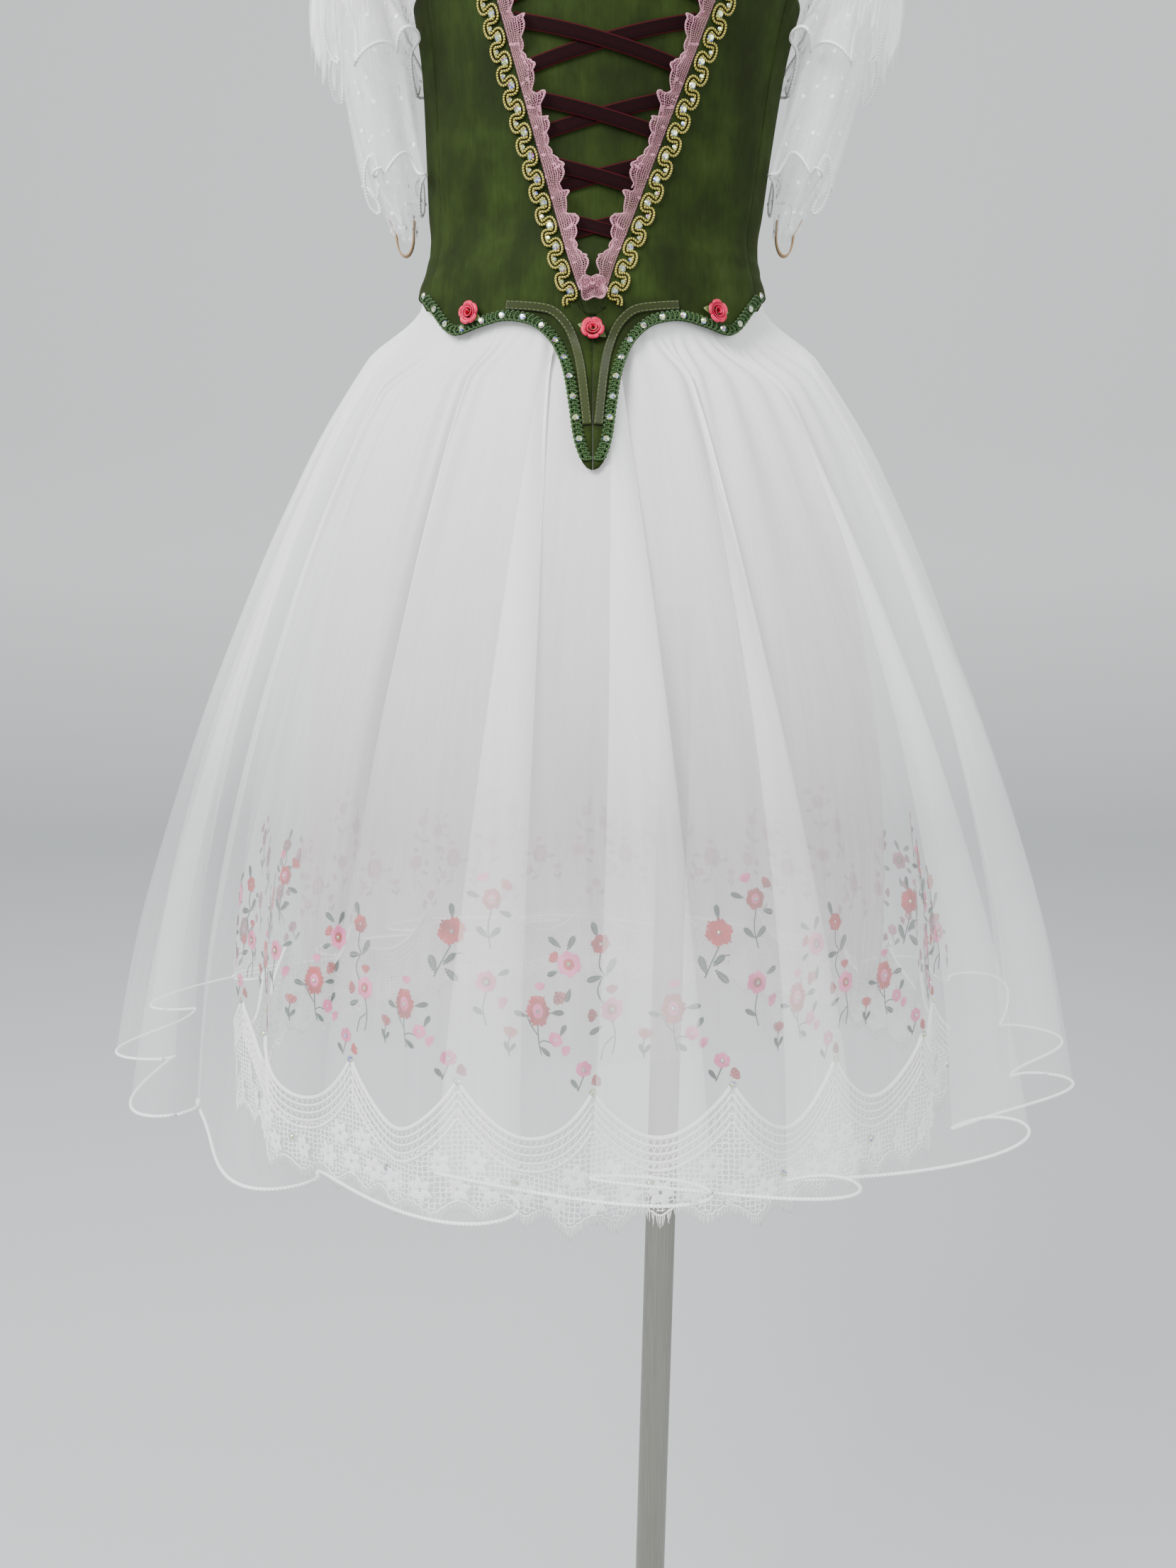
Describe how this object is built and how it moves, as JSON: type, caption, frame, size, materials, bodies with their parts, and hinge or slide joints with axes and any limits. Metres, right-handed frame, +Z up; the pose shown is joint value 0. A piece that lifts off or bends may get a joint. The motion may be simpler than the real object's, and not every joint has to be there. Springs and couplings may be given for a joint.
{
  "type": "ballet dress on a dress form with stand",
  "caption": "Ballet dress with a laced olive velvet bodice, sheer white skirts with a lace border and frilled tulle sleeves, on a limbless dress form with a steel pole and round base",
  "frame": {"origin": "on the floor, straight under the middle of the dress's waist", "axes": "the front of the dress faces -Y, +X is to the viewer's right, +Z up"},
  "size_m": [0.705, 0.6985, 1.668],
  "materials": {
    "velvet": "cotton velvet with an upright pile, mottled olive and dark green",
    "organza": "sheer white silk organza",
    "tulle": "soft white net",
    "lace": "white guipure lace",
    "gold_braid": "corded olive-gold scroll braid",
    "pink_lace": "dusty pink net lace",
    "ribbon": "burgundy-black velvet ribbon",
    "gimp": "green looped cord",
    "tape": "olive bias tape, matt",
    "rose": "coral red satin ribbon",
    "elastic": "tan woven elastic, matt",
    "form": "smooth off-white jersey cover",
    "steel": "brushed"
  },
  "bodies": {
    "root": {"bodice_front_left": "velvet", "bodice_front_right": "velvet", "bodice_side_left": "velvet", "bodice_side_right": "velvet", "bodice_back_left": "velvet", "bodice_back_right": "velvet", "bodice_plastron": "velvet", "strap_left": "velvet", "strap_right": "velvet", "skirt_organza": "organza", "skirt_tulle_embroidered": "tulle", "petticoat": "tulle", "sleeve_left": "tulle", "sleeve_right": "tulle", "flounce_upper_left": "tulle", "flounce_middle_left": "tulle", "flounce_lower_left": "tulle", "flounce_upper_right": "tulle", "flounce_middle_right": "tulle", "flounce_lower_right": "tulle", "lace_border_front": "lace", "lace_border_back": "lace", "gold_braid_left": "gold_braid", "gold_braid_right": "gold_braid", "lace_frill_left": "pink_lace", "lace_frill_right": "pink_lace", "ribbon_1_under": "ribbon", "ribbon_1_over": "ribbon", "ribbon_2_under": "ribbon", "ribbon_2_over": "ribbon", "ribbon_3_under": "ribbon", "ribbon_3_over": "ribbon", "ribbon_4_under": "ribbon", "ribbon_4_over": "ribbon", "ribbon_5_under": "ribbon", "ribbon_5_over": "ribbon", "gimp_front_left": "gimp", "gimp_back_left": "gimp", "gimp_front_right": "gimp", "gimp_back_right": "gimp", "bias_tape_left": "tape", "bias_tape_right": "tape", "rose_left": "rose", "rose_middle": "rose", "rose_right": "rose", "arm_elastic_left": "elastic", "arm_elastic_right": "elastic", "form_torso": "form", "pole": "steel", "base_disc": "steel"}
  },
  "joints": []
}
